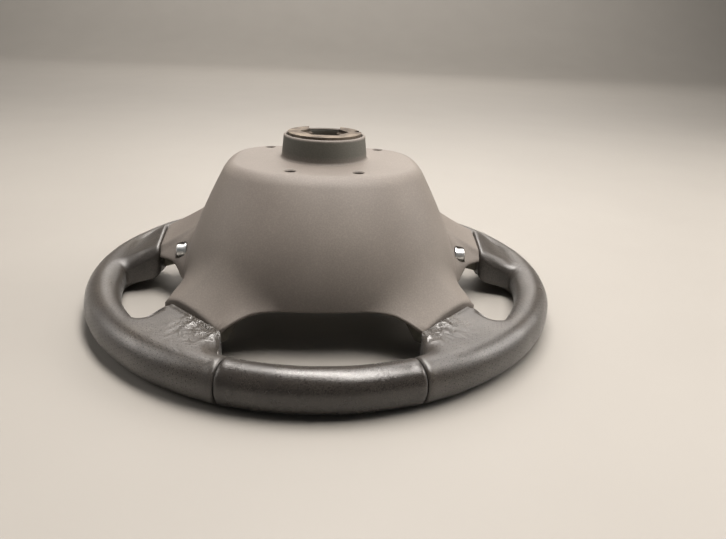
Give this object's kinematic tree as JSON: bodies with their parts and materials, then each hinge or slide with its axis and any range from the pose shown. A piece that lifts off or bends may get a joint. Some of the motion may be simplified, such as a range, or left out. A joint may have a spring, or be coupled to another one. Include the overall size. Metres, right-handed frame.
{
  "type": "car steering wheel",
  "caption": "Four-spoke leather-wrapped car steering wheel with a deep plastic rear cover, a collar round the cast boss and loosened captive airbag bolts; the airbag is off.",
  "frame": {"origin": "on the wheel's axis, in the plane of the rim's front", "axes": "+Z along the wheel's axis towards the steering column, -Y towards 6 o'clock"},
  "size_m": [0.38, 0.38, 0.136],
  "materials": {
    "cast_alloy": "as cast, dull and corroded",
    "plain_steel": "turned",
    "black_steel": "black oxide",
    "zinc_steel": "bright zinc plate",
    "grip_foam": "matt moulded",
    "smooth_leather": "worn glossy",
    "perforated_leather": "worn, perforated",
    "cover_plastic": "fine grained"
  },
  "bodies": {
    "wheel": {"armature": "cast_alloy", "rim_ring": "plain_steel", "hub_bush": "plain_steel", "rim_foam": "grip_foam", "leather_bottom": "smooth_leather", "leather_top": "smooth_leather", "leather_left": "perforated_leather", "leather_right": "perforated_leather", "rear_cover": "cover_plastic", "cover_screws": "black_steel", "bolt_bush_left": "plain_steel", "bolt_bush_right": "plain_steel"},
    "bolt_left": {"airbag_bolt_left": "zinc_steel", "bolt_clip_left": "black_steel"},
    "bolt_right": {"airbag_bolt_right": "zinc_steel", "bolt_clip_right": "black_steel"}
  },
  "joints": [
    {"name": "bolt_left_slide", "type": "slide", "parent": "wheel", "child": "bolt_left", "axis": [1, 0, 0], "range_m": [0, 0.012]},
    {"name": "bolt_right_slide", "type": "slide", "parent": "wheel", "child": "bolt_right", "axis": [-1, 0, 0], "range_m": [0, 0.012]}
  ]
}
